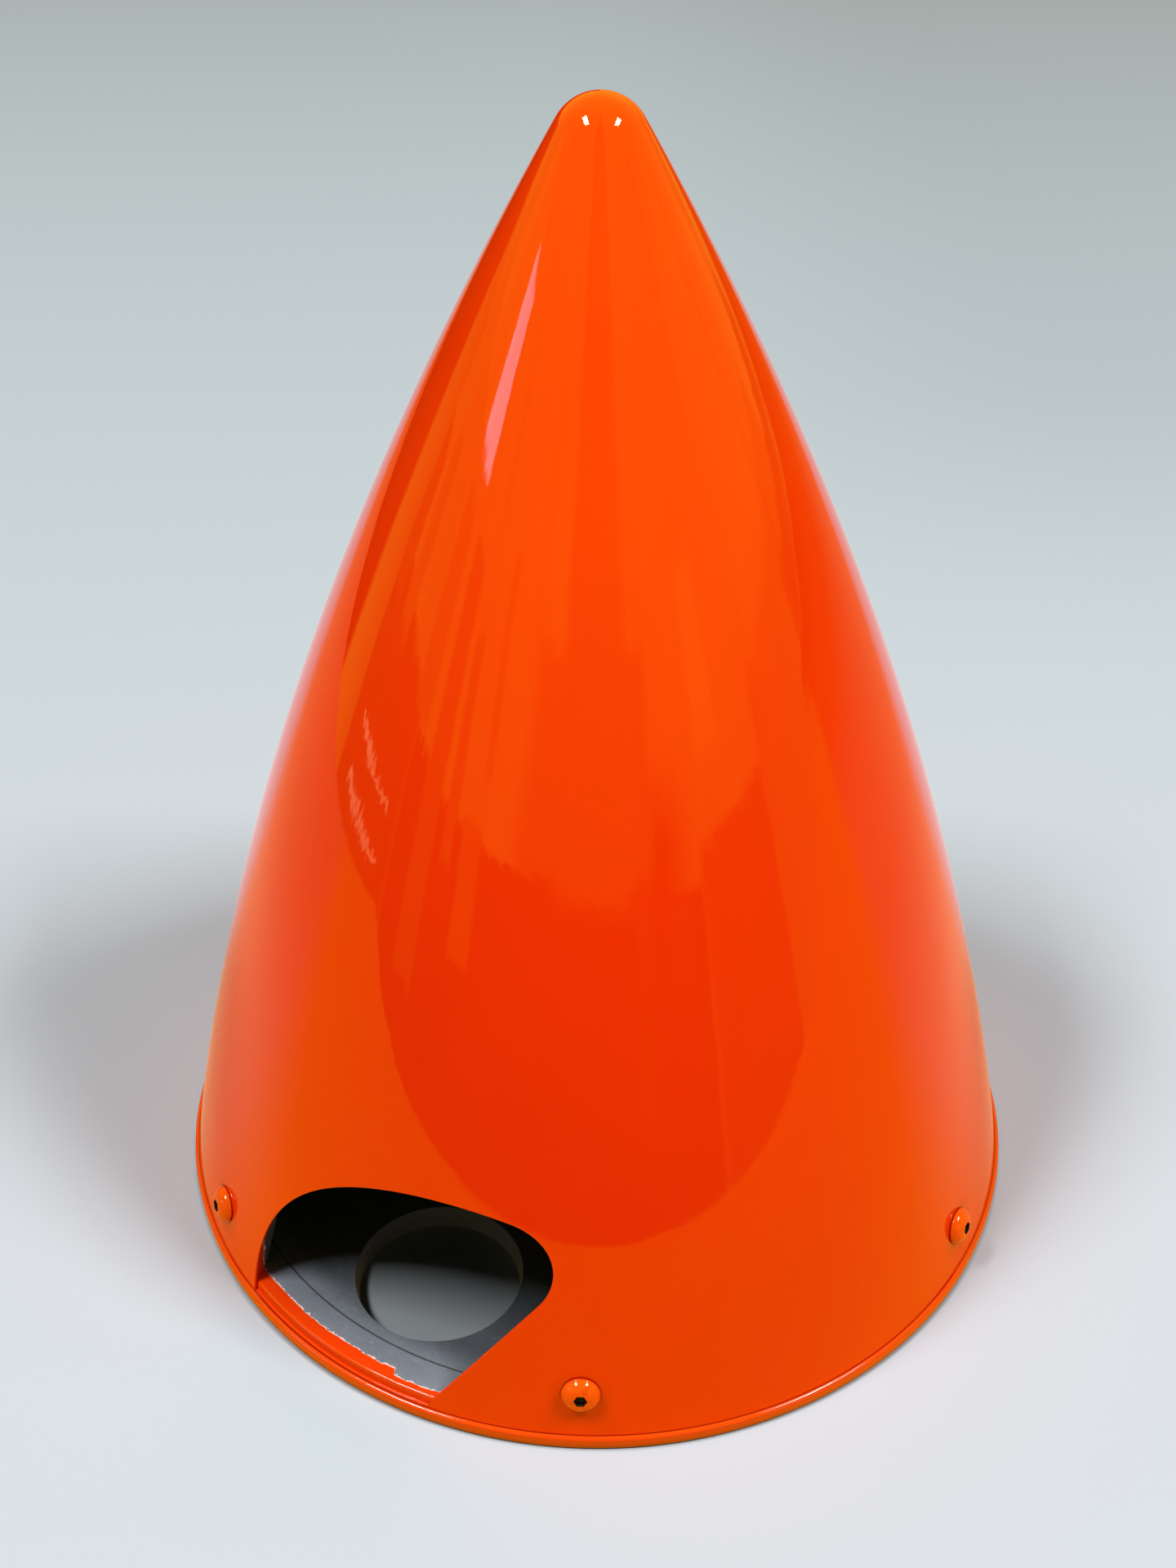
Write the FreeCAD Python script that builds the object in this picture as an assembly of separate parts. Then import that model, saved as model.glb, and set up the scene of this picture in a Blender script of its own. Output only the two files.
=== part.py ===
"""Propeller spinner for a two-blade propeller: nose cone, backplate and the hardware that joins them.

Millimetres, +Z towards the nose. The origin is on the spinner's axis, at the rear face of the backplate.
The blades leave along -Y and +Y. Azimuths are counted from -Y towards +X.
"""
import FreeCAD
import Part
import math
import os
from FreeCAD import Vector

# ---- backplate ----
RIM_RADIUS = 115.0           # outermost radius of the spinner
RIM_HEIGHT = 4.0             # height of the rim that the cone's foot stands on
RIM_EDGE_ROUND = 0.9
RIM_LEDGE = 1.1              # how far the rim stands out beyond the cone's foot
SPIGOT_HEIGHT = 2.5          # step that centres the cone, above the rim
SPIGOT_EDGE_ROUND = 0.6
FLANGE_WALL = 4.0            # upstanding flange behind the cone's foot
FLANGE_TOP = 26.0
FLANGE_ROOT_ROUND = 2.0
FLANGE_SETBACK = 1.0         # the flange ends this far behind the edges of a blade opening
SCRIBE_RADIUS = 103.0        # turned witness line on the plate's front face
SCRIBE_WIDTH = 0.6
SCRIBE_DEPTH = 0.3
PILOT_RADIUS = 12.5          # bore that centres the plate on the hub
BOLT_COUNT = 6
BOLT_CIRCLE_RADIUS = 37.5    # 75 mm bolt circle
BOLT_HOLE_RADIUS = 4.2       # clearance for M8 propeller bolts
LIGHTENING_COUNT = 6
LIGHTENING_CIRCLE_RADIUS = 78.0
LIGHTENING_RADIUS = 22.0     # at the plate's front face
LIGHTENING_DRAFT = 8.0       # degrees, narrower at the rear face
HOLE_EDGE_CHAMFER = 0.4

# ---- nose cone ----
CONE_WALL = 1.0
CONE_CLEARANCE = 0.05        # between the cone and the backplate's spigot and flange
FOOT_LEAN = 10.9             # degrees that the wall leans inwards at the foot
OGIVE_RADIUS = 920.0         # radius of the arc that the wall follows from foot to tip
TIP_RADIUS = 10.8

# ---- blade openings, outlines seen along the blades' axis ----
OPENING_COUNT = 2
BACK_RADIUS = 59.5           # large arc over the blade's back
BACK_CENTRE_X = 21.0
BACK_CENTRE_Z = 5.2
NOSE_RADIUS = 14.3           # small arc round the blade's leading edge
NOSE_BEARING = 76.5          # degrees, direction of the nose arc's centre from the large arc's centre
FACE_ANGLE = 57.5            # degrees, slope of the straight edge along the blade's face

# ---- screws that hold the cone ----
SCREW_COUNT = 6
SCREW_HEIGHT = 17.0          # where each axis crosses the cone's outer surface
SCREW_RADIUS = 2.5
SCREW_LENGTH = 12.0
SCREW_HOLE_CLEARANCE = 0.25
HEAD_RADIUS = 4.8
HEAD_HEIGHT = 2.75
HEAD_EDGE = 0.5              # upright edge below the dome
HEAD_BULGE = 0.5             # rise of the dome above its chord
HEAD_LAND_RADIUS = 2.1       # flat round the socket on top of the domed head
SOCKET_ACROSS_FLATS = 3.0
SOCKET_DEPTH = 1.7
SCREW_END_CHAMFER = 0.5

# ---- anchor nuts behind the flange, and their rivets ----
NUT_PLATE_LENGTH = 25.4
NUT_PLATE_WIDTH = 9.0
NUT_PLATE_THICKNESS = 1.0
NUT_BARREL_RADIUS = 4.1
NUT_BARREL_HEIGHT = 5.0
NUT_BARREL_CHAMFER = 0.6
NUT_THREAD_CLEARANCE = 0.05
NUT_SEAT_MARGIN = 1.0        # flat milled on the flange, beyond the nut plate's outline
NUT_SEAT_REACH = 4.0         # how far the seat's cutter reaches inwards
RIVET_SPACING = 17.4
RIVET_RADIUS = 1.2
RIVET_CLEARANCE = 0.05
RIVET_HEAD_RADIUS = 2.2
RIVET_HEAD_DEPTH = 1.0
RIVET_HEAD_SUNK = 0.65       # below the flange's face at the screw, so that the cone clears it
RIVET_TAIL_RADIUS = 1.9
RIVET_TAIL_HEIGHT = 1.1

# ---- sizes that follow ----
PLATE_TOP = RIM_HEIGHT + SPIGOT_HEIGHT
FOOT_RADIUS = RIM_RADIUS - RIM_LEDGE
OGIVE_CENTRE_R = FOOT_RADIUS - OGIVE_RADIUS * math.cos(math.radians(FOOT_LEAN))
OGIVE_CENTRE_Z = RIM_HEIGHT - OGIVE_RADIUS * math.sin(math.radians(FOOT_LEAN))
TIP_CENTRE_Z = OGIVE_CENTRE_Z + math.sqrt((OGIVE_RADIUS - TIP_RADIUS) ** 2 - OGIVE_CENTRE_R ** 2)
FLANGE_OUTSIDE = CONE_WALL + CONE_CLEARANCE       # depth below the cone's outer surface
FLANGE_INSIDE = FLANGE_OUTSIDE + FLANGE_WALL

AXIS = Vector(0, 0, 1)
CENTRE = Vector(0, 0, 0)


def radius_at(z, depth=0.0):
    """Radius, at height z, of the surface that lies `depth` below the cone's outer surface."""
    return OGIVE_CENTRE_R + math.sqrt((OGIVE_RADIUS - depth) ** 2 - (z - OGIVE_CENTRE_Z) ** 2)


def profile_point(radius, z):
    """A point of a turned profile, drawn in the XZ plane."""
    return Vector(radius, 0, z)


def line(start, end):
    return Part.LineSegment(start, end).toShape()


def wall_arc(z_start, z_end, depth):
    """The arc parallel to the cone's outer surface, `depth` below it, between two heights."""
    z_middle = (z_start + z_end) / 2
    points = [profile_point(radius_at(z, depth), z) for z in (z_start, z_middle, z_end)]
    return Part.Arc(*points).toShape()


def turned(edges):
    """The solid that a closed profile sweeps round the spinner's axis."""
    face = Part.Face(Part.Wire(Part.__sortEdges__(edges)))
    return face.revolve(CENTRE, AXIS, 360)


def turned_polygon(points):
    corners = [profile_point(*point) for point in points]
    edges = [line(a, b) for a, b in zip(corners, corners[1:] + corners[:1])]
    return turned(edges)


def round_the_axis(shape, azimuth):
    copy = shape.copy()
    copy.rotate(CENTRE, AXIS, azimuth)
    return copy


def ring_of(shape, count, first=0.0):
    """Copies of a shape, evenly spaced round the axis."""
    return [round_the_axis(shape, first + 360.0 * k / count) for k in range(count)]


# ---- blade openings ----

def opening_outline(margin):
    """Closed outline of a blade opening in the XZ plane, `margin` larger all round and open at its foot."""
    back = Vector(BACK_CENTRE_X, 0, BACK_CENTRE_Z)
    bearing = math.radians(NOSE_BEARING)
    towards_nose = Vector(math.cos(bearing), 0, math.sin(bearing))
    nose = back + towards_nose * (BACK_RADIUS - NOSE_RADIUS)
    slope = math.radians(FACE_ANGLE)
    along_face = Vector(math.cos(slope), 0, math.sin(slope))
    off_face = Vector(math.sin(slope), 0, -math.cos(slope))

    back_radius = BACK_RADIUS + margin
    nose_radius = NOSE_RADIUS + margin
    left = back - Vector(back_radius, 0, 0)
    crown = nose + towards_nose * nose_radius
    face_top = nose + off_face * nose_radius
    foot_z = -RIM_HEIGHT
    face_foot = face_top + along_face * ((foot_z - face_top.z) / along_face.z)
    left_foot = Vector(left.x, 0, foot_z)

    half_way = (math.pi + bearing) / 2
    on_back = back + Vector(math.cos(half_way), 0, math.sin(half_way)) * back_radius
    half_way = (bearing + slope - math.pi / 2) / 2
    on_nose = nose + Vector(math.cos(half_way), 0, math.sin(half_way)) * nose_radius
    return Part.Wire([
        Part.Arc(left, on_back, crown).toShape(),
        Part.Arc(crown, on_nose, face_top).toShape(),
        line(face_top, face_foot),
        line(face_foot, left_foot),
        line(left_foot, left),
    ])


def opening_prisms(margin=0.0):
    """What the blades pass through: one prism on each side, from the rim half way to the axis."""
    face = Part.Face(opening_outline(margin))
    face.translate(Vector(0, -RIM_RADIUS, 0))
    prism = face.extrude(Vector(0, RIM_RADIUS / 2, 0))
    return ring_of(prism, OPENING_COUNT)


# ---- frame of a cone screw ----

def screw_lean():
    """Angle by which the cone's surface leans inwards where a screw crosses it, in degrees."""
    return math.degrees(math.asin((SCREW_HEIGHT - OGIVE_CENTRE_Z) / OGIVE_RADIUS))


def at_screw(shape, azimuth):
    """Puts a shape from a screw's own frame into place.

    In that frame +Z is the screw's axis, outwards, with 0 on the cone's outer surface; +Y runs up the wall.
    """
    copy = shape.copy()
    copy.rotate(CENTRE, Vector(1, 0, 0), 90 - screw_lean())
    copy.translate(Vector(0, -radius_at(SCREW_HEIGHT), SCREW_HEIGHT))
    return round_the_axis(copy, azimuth)


def screw_azimuths():
    step = 360.0 / SCREW_COUNT
    return [step / 2 + step * k for k in range(SCREW_COUNT)]


def stub(radius, z_low, z_high, x=0.0, y=0.0):
    """Upright cylinder between two heights."""
    return Part.makeCylinder(radius, z_high - z_low, Vector(x, y, z_low))


def screw_hole():
    depth = FLANGE_INSIDE + NUT_SEAT_REACH
    return stub(SCREW_RADIUS + SCREW_HOLE_CLEARANCE, -depth, HEAD_HEIGHT)


# ---- pieces ----

def make_nose_cone():
    to_tip = Vector(-OGIVE_CENTRE_R, 0, TIP_CENTRE_Z - OGIVE_CENTRE_Z).normalize()
    ogive_centre = profile_point(OGIVE_CENTRE_R, OGIVE_CENTRE_Z)
    tip_centre = profile_point(0, TIP_CENTRE_Z)

    def skin(depth):
        """The wall's arc and the tip's arc, `depth` below the outer surface."""
        shoulder = ogive_centre + to_tip * (OGIVE_RADIUS - depth)
        radius = TIP_RADIUS - depth
        half_way = (math.atan2(to_tip.z, to_tip.x) + math.pi / 2) / 2
        on_tip = tip_centre + Vector(math.cos(half_way), 0, math.sin(half_way)) * radius
        top = tip_centre + AXIS * radius
        return wall_arc(RIM_HEIGHT, shoulder.z, depth), Part.Arc(shoulder, on_tip, top).toShape(), top

    outer_wall, outer_tip, outer_top = skin(0.0)
    inner_wall, inner_tip, inner_top = skin(CONE_WALL)
    foot_outer = profile_point(radius_at(RIM_HEIGHT), RIM_HEIGHT)
    foot_inner = profile_point(radius_at(RIM_HEIGHT, CONE_WALL), RIM_HEIGHT)
    shell = turned([outer_wall, outer_tip, line(outer_top, inner_top), inner_tip, inner_wall,
                    line(foot_inner, foot_outer)])
    shell = shell.cut(opening_prisms())
    return shell.cut([at_screw(screw_hole(), azimuth) for azimuth in screw_azimuths()])


def trimming_tools():
    """Takes the flange away in the blade openings and leaves the spigot with its rounded edge."""
    shoulder_z = PLATE_TOP - SPIGOT_EDGE_ROUND
    spigot_radius = radius_at(shoulder_z, FLANGE_OUTSIDE)
    round_centre = profile_point(spigot_radius - SPIGOT_EDGE_ROUND, shoulder_z)
    diagonal = SPIGOT_EDGE_ROUND * math.sqrt(0.5)
    axis_low = profile_point(0, PLATE_TOP)
    edge_start = round_centre + Vector(0, 0, SPIGOT_EDGE_ROUND)
    edge_end = round_centre + Vector(SPIGOT_EDGE_ROUND, 0, 0)
    outside_low = profile_point(RIM_RADIUS, shoulder_z)
    outside_high = profile_point(RIM_RADIUS, FLANGE_TOP + SPIGOT_HEIGHT)
    axis_high = profile_point(0, FLANGE_TOP + SPIGOT_HEIGHT)
    above = turned([
        line(axis_low, edge_start),
        Part.Arc(edge_start, round_centre + Vector(diagonal, 0, diagonal), edge_end).toShape(),
        line(edge_end, outside_low),
        line(outside_low, outside_high),
        line(outside_high, axis_high),
        line(axis_high, axis_low),
    ])
    return [prism.common(above) for prism in opening_prisms(FLANGE_SETBACK)]


def circle_edges(shape, radius, z):
    """Full circles about the axis with this radius and height."""
    found = []
    for edge in shape.Edges:
        curve = edge.Curve
        if isinstance(curve, Part.Circle):
            near = abs(curve.Radius - radius) < 1e-4 and abs(curve.Center.z - z) < 1e-4
            if near and math.hypot(curve.Center.x, curve.Center.y) < 1e-4:
                found.append(edge)
    return found


def rear_cone(radius_front, draft, height):
    """Cutter of a drafted hole that narrows towards the rear face."""
    narrowing = height * math.tan(math.radians(draft))
    return Part.makeCone(radius_front - narrowing, radius_front, height)


def make_backplate():
    flange_outer_top = profile_point(radius_at(FLANGE_TOP, FLANGE_OUTSIDE), FLANGE_TOP)
    flange_inner_top = profile_point(radius_at(FLANGE_TOP, FLANGE_INSIDE), FLANGE_TOP)
    spigot_foot = profile_point(radius_at(RIM_HEIGHT, FLANGE_OUTSIDE), RIM_HEIGHT)
    flange_root = profile_point(radius_at(PLATE_TOP, FLANGE_INSIDE), PLATE_TOP)
    rim_low = profile_point(RIM_RADIUS, 0)
    rim_high = profile_point(RIM_RADIUS, RIM_HEIGHT)
    bore_low = profile_point(PILOT_RADIUS, 0)
    bore_high = profile_point(PILOT_RADIUS, PLATE_TOP)
    plate = turned([
        line(bore_low, rim_low),
        line(rim_low, rim_high),
        line(rim_high, spigot_foot),
        wall_arc(RIM_HEIGHT, FLANGE_TOP, FLANGE_OUTSIDE),
        line(flange_outer_top, flange_inner_top),
        wall_arc(FLANGE_TOP, PLATE_TOP, FLANGE_INSIDE),
        line(flange_root, bore_high),
        line(bore_high, bore_low),
    ])
    plate = plate.makeFillet(FLANGE_ROOT_ROUND, circle_edges(plate, flange_root.x, PLATE_TOP))
    rim_edges = circle_edges(plate, RIM_RADIUS, 0) + circle_edges(plate, RIM_RADIUS, RIM_HEIGHT)
    plate = plate.makeFillet(RIM_EDGE_ROUND, rim_edges)

    half_width = SCRIBE_WIDTH / 2
    scribe = turned_polygon([
        (SCRIBE_RADIUS - half_width, PLATE_TOP + SCRIBE_DEPTH),
        (SCRIBE_RADIUS - half_width, PLATE_TOP),
        (SCRIBE_RADIUS, PLATE_TOP - SCRIBE_DEPTH),
        (SCRIBE_RADIUS + half_width, PLATE_TOP),
        (SCRIBE_RADIUS + half_width, PLATE_TOP + SCRIBE_DEPTH),
    ])
    lightening = rear_cone(LIGHTENING_RADIUS, LIGHTENING_DRAFT, PLATE_TOP)
    lightening.translate(Vector(0, -LIGHTENING_CIRCLE_RADIUS, 0))
    bolt_hole = stub(BOLT_HOLE_RADIUS, 0, PLATE_TOP, y=-BOLT_CIRCLE_RADIUS)
    bolt_mouth = Part.makeCone(BOLT_HOLE_RADIUS, BOLT_HOLE_RADIUS + HOLE_EDGE_CHAMFER, HOLE_EDGE_CHAMFER,
                               Vector(0, -BOLT_CIRCLE_RADIUS, PLATE_TOP - HOLE_EDGE_CHAMFER))
    bore_mouth = Part.makeCone(PILOT_RADIUS, PILOT_RADIUS + HOLE_EDGE_CHAMFER, HOLE_EDGE_CHAMFER,
                               Vector(0, 0, PLATE_TOP - HOLE_EDGE_CHAMFER))
    tools = [scribe, bore_mouth]
    tools += trimming_tools()
    tools += ring_of(lightening, LIGHTENING_COUNT)
    tools += ring_of(bolt_hole, BOLT_COUNT, 180.0 / BOLT_COUNT)
    tools += ring_of(bolt_mouth, BOLT_COUNT, 180.0 / BOLT_COUNT)
    plate = plate.cut(tools)

    seat_length = NUT_PLATE_LENGTH + 2 * NUT_SEAT_MARGIN
    seat_width = NUT_PLATE_WIDTH + 2 * NUT_SEAT_MARGIN
    corner = Vector(-seat_length / 2, -seat_width / 2, -FLANGE_INSIDE - NUT_SEAT_REACH)
    seat = Part.makeBox(seat_length, seat_width, NUT_SEAT_REACH, corner)
    fixings = [seat, screw_hole()] + [rivet_at(x, RIVET_CLEARANCE, True) for x in rivet_places()]
    return plate.cut([at_screw(tool, azimuth) for azimuth in screw_azimuths() for tool in fixings])


def make_cone_screw():
    """Button-head screw with a hexagon socket; a corner of the socket points up the wall."""
    dome_start = profile_point(HEAD_RADIUS, HEAD_EDGE)
    dome_end = profile_point(HEAD_LAND_RADIUS, HEAD_HEIGHT)
    chord = dome_end - dome_start
    bulge = Vector(-chord.z, 0, chord.x).normalize() * (-HEAD_BULGE)
    dome_middle = (dome_start + dome_end) * 0.5 + bulge
    end_z = -SCREW_LENGTH
    corners = [
        dome_end,
        profile_point(0, HEAD_HEIGHT),
        profile_point(0, end_z),
        profile_point(SCREW_RADIUS - SCREW_END_CHAMFER, end_z),
        profile_point(SCREW_RADIUS, end_z + SCREW_END_CHAMFER),
        profile_point(SCREW_RADIUS, 0),
        profile_point(HEAD_RADIUS, 0),
        dome_start,
    ]
    edges = [line(a, b) for a, b in zip(corners, corners[1:])]
    screw = turned(edges + [Part.Arc(dome_start, dome_middle, dome_end).toShape()])
    corner_radius = SOCKET_ACROSS_FLATS / math.sqrt(3)
    socket_z = HEAD_HEIGHT - SOCKET_DEPTH
    hexagon = Part.makePolygon([
        Vector(corner_radius * math.sin(math.radians(60 * k)), corner_radius * math.cos(math.radians(60 * k)),
               socket_z)
        for k in range(7)
    ])
    socket = Part.Face(hexagon).extrude(Vector(0, 0, HEAD_HEIGHT))
    drill_point = Part.makeCone(0, SOCKET_ACROSS_FLATS / 2, SOCKET_ACROSS_FLATS / 4,
                                Vector(0, 0, socket_z - SOCKET_ACROSS_FLATS / 4))
    return screw.cut([socket, drill_point])


def make_nut_plate():
    """Two-lug anchor nut: a flat base riveted to the flange and a threaded barrel."""
    end_radius = NUT_PLATE_WIDTH / 2
    straight = NUT_PLATE_LENGTH - NUT_PLATE_WIDTH
    base_low = -FLANGE_INSIDE - NUT_PLATE_THICKNESS
    corner = Vector(-straight / 2, -end_radius, base_low)
    base = Part.makeBox(straight, NUT_PLATE_WIDTH, NUT_PLATE_THICKNESS, corner)
    ends = [stub(end_radius, base_low, -FLANGE_INSIDE, x=side * straight / 2) for side in (-1, 1)]
    barrel = turned_polygon([
        (0, -FLANGE_INSIDE),
        (NUT_BARREL_RADIUS, -FLANGE_INSIDE),
        (NUT_BARREL_RADIUS, base_low - NUT_BARREL_HEIGHT + NUT_BARREL_CHAMFER),
        (NUT_BARREL_RADIUS - NUT_BARREL_CHAMFER, base_low - NUT_BARREL_HEIGHT),
        (0, base_low - NUT_BARREL_HEIGHT),
    ])
    nut = base.fuse(ends + [barrel]).removeSplitter()
    thread = stub(SCREW_RADIUS + NUT_THREAD_CLEARANCE, base_low - NUT_BARREL_HEIGHT, -FLANGE_INSIDE)
    rivet_holes = [stub(RIVET_RADIUS + RIVET_CLEARANCE, base_low, -FLANGE_INSIDE, x=x) for x in rivet_places()]
    return nut.cut([thread] + rivet_holes)


def rivet_places():
    return [-RIVET_SPACING / 2, RIVET_SPACING / 2]


def rivet_at(x, clearance, as_hole):
    """Countersunk rivet, or the hole that it needs with its countersink open to the flange's face."""
    head_top = -FLANGE_OUTSIDE - RIVET_HEAD_SUNK
    head_low = head_top - RIVET_HEAD_DEPTH
    head_radius = RIVET_HEAD_RADIUS + clearance
    shank_radius = RIVET_RADIUS + clearance
    lug_back = -FLANGE_INSIDE - NUT_PLATE_THICKNESS
    tail_low = lug_back - RIVET_TAIL_HEIGHT
    if as_hole:
        profile = [(0, 0), (head_radius, 0), (head_radius, head_top), (shank_radius, head_low),
                   (shank_radius, lug_back), (0, lug_back)]
    else:
        profile = [(0, head_top), (head_radius, head_top), (shank_radius, head_low),
                   (shank_radius, lug_back), (RIVET_TAIL_RADIUS, lug_back),
                   (RIVET_TAIL_RADIUS, (lug_back + tail_low) / 2), (RIVET_RADIUS, tail_low), (0, tail_low)]
    rivet = turned_polygon(profile)
    rivet.translate(Vector(x, 0, 0))
    return rivet


def make_rivet_pair():
    return Part.makeCompound([rivet_at(x, 0.0, False) for x in rivet_places()])


def save(shape, name):
    if not shape.isValid():
        raise ValueError("invalid shape: " + name)
    solids = shape.Solids
    kept = solids[0] if len(solids) == 1 else Part.makeCompound(solids)
    kept.exportStep("parts/" + name + ".step")
    box = kept.BoundBox
    print("%-22s solids %d volume %9.1f  x %.2f..%.2f  y %.2f..%.2f  z %.2f..%.2f" % (
        name, len(solids), kept.Volume, box.XMin, box.XMax, box.YMin, box.YMax, box.ZMin, box.ZMax))


def main():
    os.makedirs("parts", exist_ok=True)
    save(make_nose_cone(), "nose_cone")
    save(make_backplate(), "backplate")
    repeated = {
        "cone_screw": make_cone_screw(),
        "nut_plate": make_nut_plate(),
        "nut_plate_rivets": make_rivet_pair(),
    }
    for name, shape in repeated.items():
        for number, azimuth in enumerate(screw_azimuths(), start=1):
            save(at_screw(shape, azimuth), name + "_" + str(number))


main()
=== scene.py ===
from math import asin, atan2, cos, degrees, hypot, pi, radians, sin, sqrt, tan

import bmesh
import bpy
from bpy.props import FloatProperty, FloatVectorProperty, IntProperty, PointerProperty
from mathutils import Matrix, Vector


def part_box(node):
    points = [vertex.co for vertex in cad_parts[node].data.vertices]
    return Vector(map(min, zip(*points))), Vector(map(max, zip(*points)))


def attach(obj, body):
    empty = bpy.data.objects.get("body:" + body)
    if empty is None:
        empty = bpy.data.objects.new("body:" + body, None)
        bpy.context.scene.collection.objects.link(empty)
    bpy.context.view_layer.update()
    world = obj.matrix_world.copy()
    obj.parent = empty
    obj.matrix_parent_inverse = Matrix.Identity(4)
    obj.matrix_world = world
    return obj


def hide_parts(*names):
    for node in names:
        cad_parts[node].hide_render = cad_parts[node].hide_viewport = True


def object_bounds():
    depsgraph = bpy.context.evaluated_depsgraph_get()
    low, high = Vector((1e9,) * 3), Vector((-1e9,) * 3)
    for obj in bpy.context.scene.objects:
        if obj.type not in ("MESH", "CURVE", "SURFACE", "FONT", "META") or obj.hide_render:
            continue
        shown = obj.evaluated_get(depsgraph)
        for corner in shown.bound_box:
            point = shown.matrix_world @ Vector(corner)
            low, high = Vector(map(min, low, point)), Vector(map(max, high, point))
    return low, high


bl_info = {
    "name": "Propeller spinner",
    "version": (1, 0, 0),
    "blender": (4, 5, 0),
    "location": "View3D > Sidebar > Spinner",
    "description": "Makes the pieces and finishes of a two-blade propeller spinner around its CAD frame",
    "category": "Object",
}

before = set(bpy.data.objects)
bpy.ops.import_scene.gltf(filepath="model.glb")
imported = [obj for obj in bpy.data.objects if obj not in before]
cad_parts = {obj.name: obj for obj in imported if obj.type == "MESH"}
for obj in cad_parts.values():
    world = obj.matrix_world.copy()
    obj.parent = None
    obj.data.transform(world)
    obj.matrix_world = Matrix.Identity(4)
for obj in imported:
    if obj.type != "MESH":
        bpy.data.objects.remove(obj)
CAD_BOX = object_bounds()
MM = 0.001
RIM_RADIUS = CAD_BOX[1][0]           # outermost radius
FOOT_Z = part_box("nose_cone")[0][2]   # the cone stands on the rim here
FLANGE_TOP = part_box("backplate")[1][2]
AXIS = Vector((0, 0, 1))
MERGE = 1e-6                         # points closer than this are one point
LARGE_HOLES = 6                      # in the plate, with a bolt hole between each two
PLATE_DIVISIONS = 256
SCREW_DIVISIONS = 48
CAMERA_PLACE = (-0.022, 3.475, 3.636)   # to the right, towards the camera and up, in rim radii


# ---------------------------------------------------------------- sizes

def a_length(name, description, default, precision=4):
    return FloatProperty(name=name, description=description, default=default, unit="LENGTH", precision=precision)


def an_angle(name, description, in_degrees):
    return FloatProperty(name=name, description=description, default=radians(in_degrees), subtype="ANGLE")


def a_colour(name, description, red, green, blue):
    return FloatVectorProperty(name=name, description=description, default=(red, green, blue, 1),
                               subtype="COLOR", size=4, min=0, max=1)


class SpinnerConeSizes(bpy.types.PropertyGroup):
    """Sizes of the nose cone's wall."""
    ledge: a_length("Rim ledge", "How far the rim stands out beyond the cone's foot", 1.1 * MM)
    wall: a_length("Wall", "Thickness of the cone's wall", 1.0 * MM)
    foot_lean: an_angle("Foot lean", "Angle that the wall leans inwards at the foot", 10.9)
    ogive_radius: a_length("Ogive radius", "Radius of the arc from foot to tip", 920 * MM)
    tip_radius: a_length("Tip radius", "Radius of the rounded tip", 10.8 * MM)
    edge_round: a_length("Edge round", "Rounding of the cut edges under the paint", 0.3 * MM, 5)
    around: IntProperty(name="Divisions around", description="Facets round the cone", default=256)
    along: IntProperty(name="Divisions along", description="Facets from foot to tip", default=116)


class SpinnerOpeningSizes(bpy.types.PropertyGroup):
    """Outline of a blade opening, seen along the blade."""
    back_radius: a_length("Back radius", "Large arc over the blade's back", 59.5 * MM)
    back_centre: FloatVectorProperty(name="Back centre", description="Centre of the large arc, across and up",
                                     size=2, default=(21.0 * MM, 5.2 * MM), unit="LENGTH", precision=4)
    nose_radius: a_length("Nose radius", "Small arc round the blade's leading edge", 14.3 * MM)
    nose_bearing: an_angle("Nose bearing", "Direction of the small arc's centre", 76.5)
    face_angle: an_angle("Face angle", "Slope of the straight edge", 57.5)


class SpinnerPlateSizes(bpy.types.PropertyGroup):
    """Sizes of the backplate."""
    spigot: a_length("Spigot", "Step that centres the cone, above the rim", 2.5 * MM)
    spigot_round: a_length("Spigot edge", "Rounding of the step's edge", 0.6 * MM)
    rim_round: a_length("Rim edge", "Rounding of the rim's edges", 0.9 * MM)
    clearance: a_length("Clearance", "Gap between the cone and the flange", 0.05 * MM, 5)
    flange_wall: a_length("Flange wall", "Thickness of the upstanding flange", 4.0 * MM)
    flange_root: a_length("Flange root", "Fillet at the flange's foot", 2.0 * MM)
    flange_setback: a_length("Flange setback", "Flange ends this far behind an opening's edge", 1.0 * MM)
    scribe_radius: a_length("Scribed line", "Radius of the turned witness line", 103.0 * MM)
    scribe_width: a_length("Scribe width", "Width of the witness line", 0.6 * MM, 5)
    scribe_depth: a_length("Scribe depth", "Depth of the witness line", 0.3 * MM, 5)
    pilot_radius: a_length("Pilot bore", "Radius of the bore on the hub's pilot", 12.5 * MM)
    bolt_circle: a_length("Bolt circle", "Radius of the propeller bolts' circle", 37.5 * MM)
    bolt_radius: a_length("Bolt hole", "Radius of the propeller bolts' holes", 4.2 * MM)
    lightening_circle: a_length("Lightening circle", "Radius of the large holes' circle", 78.0 * MM)
    lightening_radius: a_length("Lightening hole", "Radius of the large holes in front", 22.0 * MM)
    draft: an_angle("Draft", "Slope of the large holes' walls", 8.0)
    mouth: a_length("Mouth chamfer", "Chamfer at the bore and bolt holes", 0.4 * MM, 5)


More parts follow.
